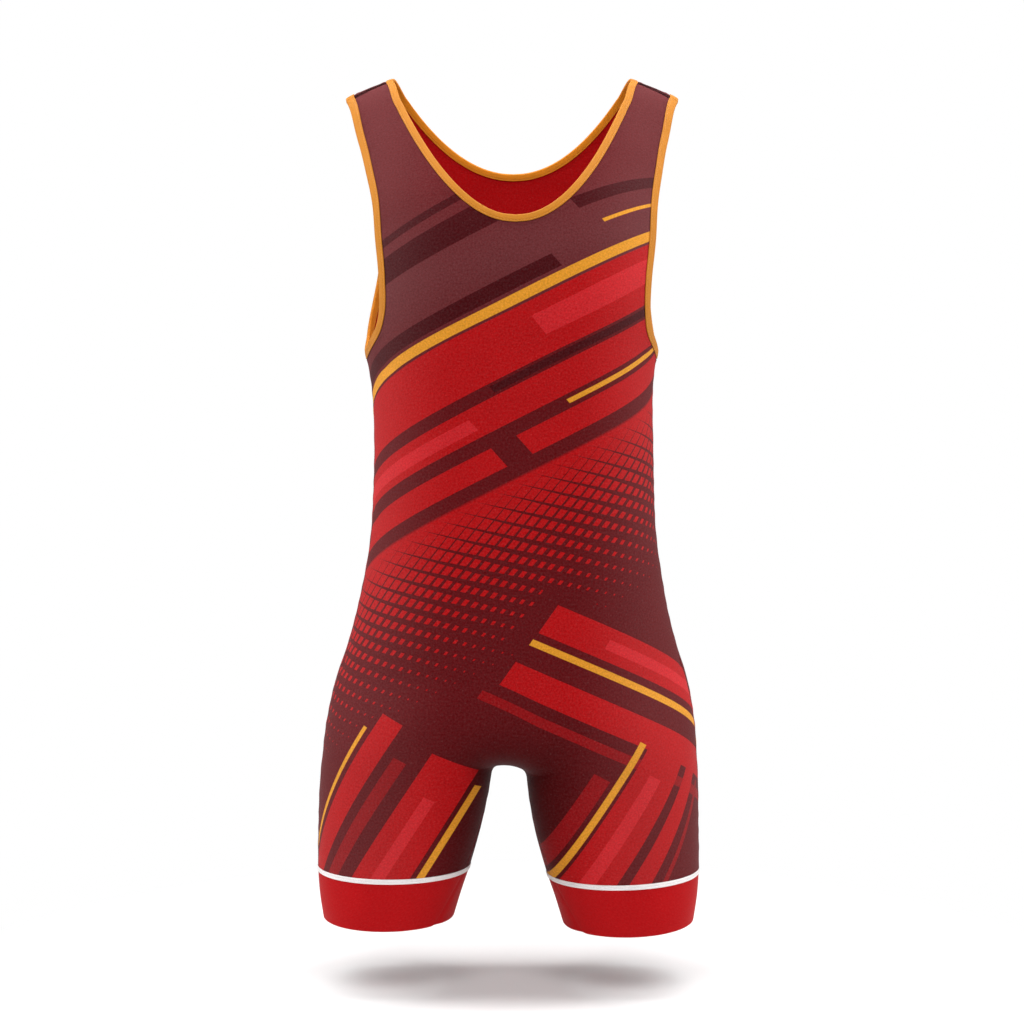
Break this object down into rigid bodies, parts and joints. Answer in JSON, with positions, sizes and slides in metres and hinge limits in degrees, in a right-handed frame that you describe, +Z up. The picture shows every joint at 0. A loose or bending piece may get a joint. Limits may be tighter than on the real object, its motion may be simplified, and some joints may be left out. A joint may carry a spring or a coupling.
{
  "type": "wrestling singlet",
  "caption": "Sleeveless stretch singlet with shorts legs, filled out as if worn, with a scooped neck, deep armholes, bound edges and banded leg hems.",
  "frame": {"origin": "midway between the two shoulder straps, at the height where the wearer's shoulders hold them up", "axes": "+Z up to the shoulders, -Y out of the front, +X to the wearer's left"},
  "size_m": [0.3814, 0.2311, 0.847],
  "materials": {
    "front_cloth": "smooth stretch knit with a soft sheen",
    "back_cloth": "smooth stretch knit with a soft sheen",
    "binding": "folded elastic knit",
    "leg_band": "double stretch knit over elastic",
    "leg_stripe": "flat woven tape"
  },
  "bodies": {
    "root": {"front_panel": "front_cloth", "back_panel": "back_cloth", "neck_binding_front": "binding", "neck_binding_back": "binding", "armhole_binding_left": "binding", "armhole_binding_right": "binding", "leg_band_left": "leg_band", "leg_band_right": "leg_band", "leg_stripe_left": "leg_stripe", "leg_stripe_right": "leg_stripe"}
  },
  "joints": []
}
